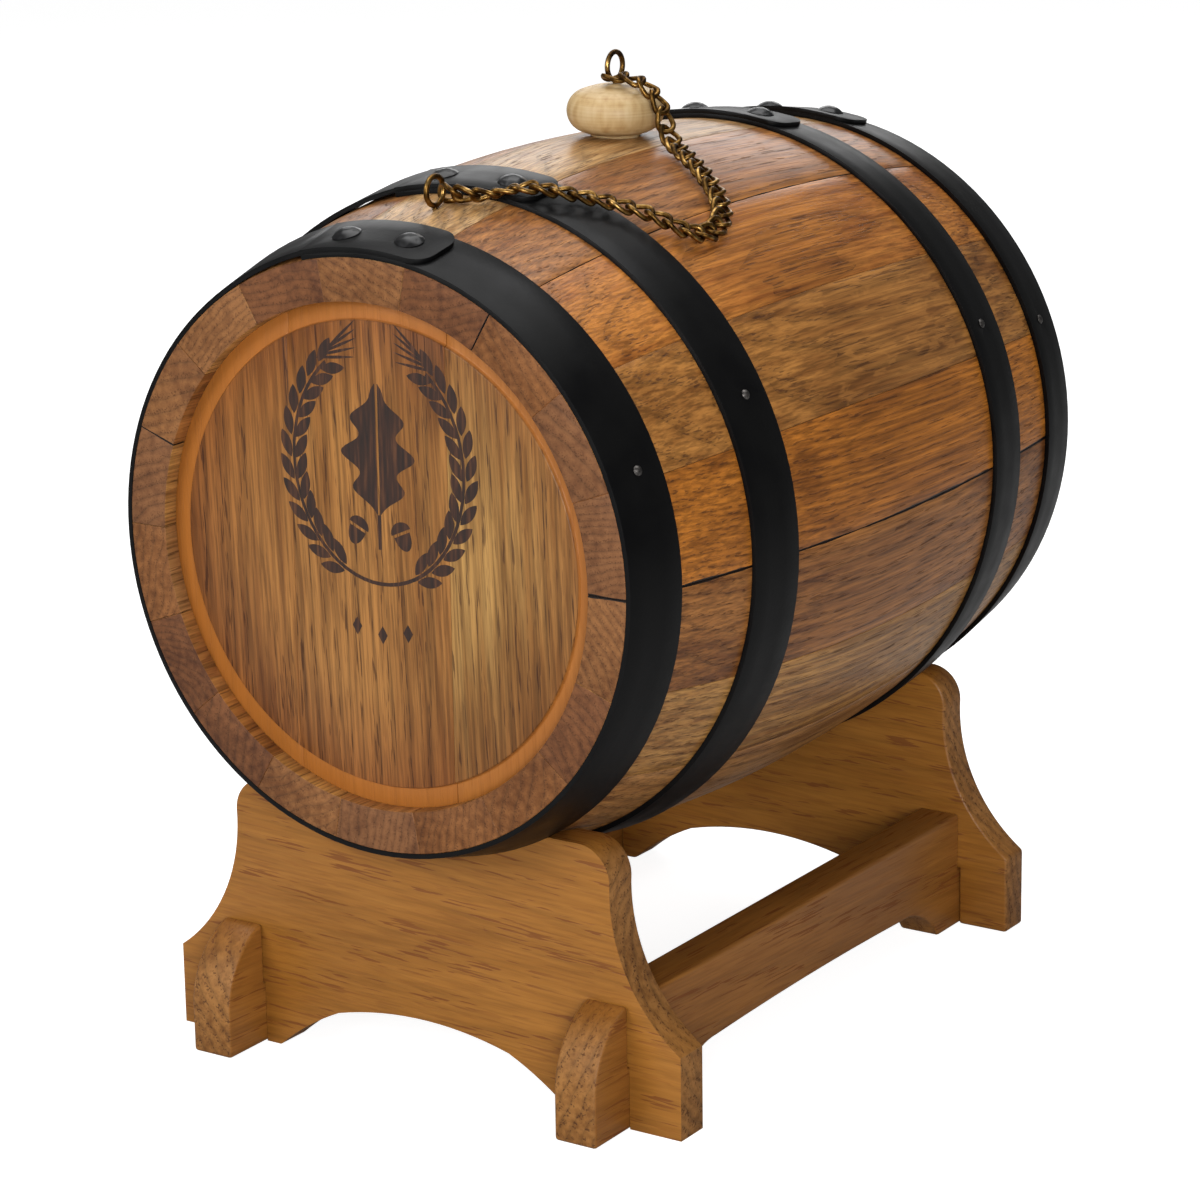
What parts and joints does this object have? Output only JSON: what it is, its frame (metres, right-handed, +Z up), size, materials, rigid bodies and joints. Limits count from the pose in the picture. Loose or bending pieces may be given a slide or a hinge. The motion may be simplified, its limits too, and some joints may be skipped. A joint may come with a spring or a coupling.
{
  "type": "oak cask dispenser",
  "caption": "Small oak cask with black steel hoops lying on a cross-lapped wooden cradle, with a chained bung on top and a turned wooden tap in its rear head.",
  "frame": {"origin": "under the middle of the cradle, on the surface that it stands on", "axes": "+Z up, +Y along the cask from its decorated front head to its rear head, +X to the right seen from the front"},
  "size_m": [0.2064, 0.3037, 0.2935],
  "materials": {
    "stave_oak": "satin varnish",
    "head_oak": "satin varnish",
    "dowel_beech": "plain",
    "black_steel": "satin black",
    "nail_steel": "dull",
    "aged_brass": "aged",
    "bung_beech": "plain",
    "tap_wood": "waxed",
    "washer_leather": "plain",
    "stand_oak": "satin varnish"
  },
  "bodies": {
    "stand": {"front_cradle_board": "stand_oak", "rear_cradle_board": "stand_oak", "right_rail": "stand_oak", "left_rail": "stand_oak"},
    "cask": {"bung_stave": "stave_oak", "stave_02": "stave_oak", "stave_03": "stave_oak", "stave_04": "stave_oak", "stave_05": "stave_oak", "stave_06": "stave_oak", "stave_07": "stave_oak", "stave_08": "stave_oak", "stave_09": "stave_oak", "stave_10": "stave_oak", "stave_11": "stave_oak", "stave_12": "stave_oak", "stave_13": "stave_oak", "stave_14": "stave_oak", "stave_15": "stave_oak", "stave_16": "stave_oak", "stave_17": "stave_oak", "stave_18": "stave_oak", "front_head_left_board": "head_oak", "front_head_middle_board": "head_oak", "front_head_right_board": "head_oak", "rear_head_left_board": "head_oak", "rear_head_middle_board": "head_oak", "rear_head_right_board": "head_oak", "front_head_dowels": "dowel_beech", "rear_head_dowels": "dowel_beech", "front_chime_hoop": "black_steel", "front_quarter_hoop": "black_steel", "rear_quarter_hoop": "black_steel", "rear_chime_hoop": "black_steel", "hoop_rivets": "black_steel", "hoop_nails": "nail_steel", "cask_eye": "aged_brass", "chain": "aged_brass", "tap_body": "tap_wood", "tap_washer": "washer_leather"},
    "bung": {"bung": "bung_beech", "bung_eye": "aged_brass"},
    "tap_key": {"tap_key": "tap_wood"}
  },
  "joints": [
    {"name": "cask_lift", "type": "slide", "parent": "stand", "child": "cask", "axis": [0, 0, 1], "range_m": [0, 0.12]},
    {"name": "bung_lift", "type": "slide", "parent": "cask", "child": "bung", "axis": [0, 0, 1], "range_m": [0, 0.03], "deforming": ["chain"]},
    {"name": "tap_turn", "type": "hinge", "parent": "cask", "child": "tap_key", "pos_m": [0, 0.1497, 0.1084], "axis": [0, 0, 1], "continuous": true}
  ]
}
